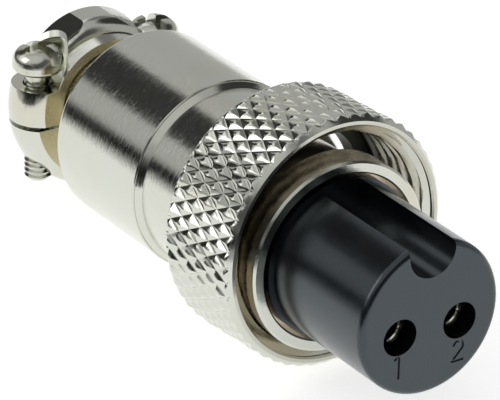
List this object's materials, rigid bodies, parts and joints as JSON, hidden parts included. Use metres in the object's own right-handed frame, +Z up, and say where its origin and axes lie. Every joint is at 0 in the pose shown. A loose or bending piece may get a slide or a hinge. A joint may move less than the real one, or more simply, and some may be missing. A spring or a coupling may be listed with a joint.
{
  "type": "charging plug",
  "caption": "Straight cable plug with a keyed black insulator nose, socket contacts, a loose diamond-knurled coupling nut, a stepped metal sleeve and a screwed cable clamp.",
  "frame": {"origin": "on the plug's axis, in the front face of the shell's flange, at the foot of the insulator's nose", "axes": "+X along the plug's axis towards the mating face, +Z up through the keyway, +Y towards contact 2"},
  "size_m": [0.0433, 0.0183, 0.0181],
  "materials": {
    "nickel": "satin nickel plating",
    "screw_nickel": "bright nickel plating",
    "insulator_black": "satin moulded",
    "contact_metal": "thin plating over brass",
    "spring_steel": "plain"
  },
  "bodies": {
    "shell": {"front_shell": "nickel", "insulator": "insulator_black", "contact_left": "contact_metal", "contact_right": "contact_metal", "retaining_ring": "spring_steel", "rear_sleeve": "nickel"},
    "nut": {"coupling_nut": "nickel"},
    "saddle": {"clamp_saddle": "nickel"},
    "screw_left": {"clamp_screw_left": "screw_nickel"},
    "screw_right": {"clamp_screw_right": "screw_nickel"}
  },
  "joints": [
    {"name": "nut_spin", "type": "hinge", "parent": "shell", "child": "nut", "pos_m": [-0.001, 0.0004, 0.00051], "axis": [0.9985, 0.0523, 0.0175], "continuous": true},
    {"name": "saddle_slide", "type": "slide", "parent": "shell", "child": "saddle", "axis": [0, 0, 1], "range_m": [-0.0003, 0.001]},
    {"name": "screw_left_turn", "type": "hinge", "parent": "shell", "child": "screw_left", "pos_m": [-0.0308, -0.0048, 0], "axis": [0, 0, 1], "continuous": true},
    {"name": "screw_right_turn", "type": "hinge", "parent": "shell", "child": "screw_right", "pos_m": [-0.0308, 0.0048, 0], "axis": [0, 0, 1], "continuous": true}
  ]
}
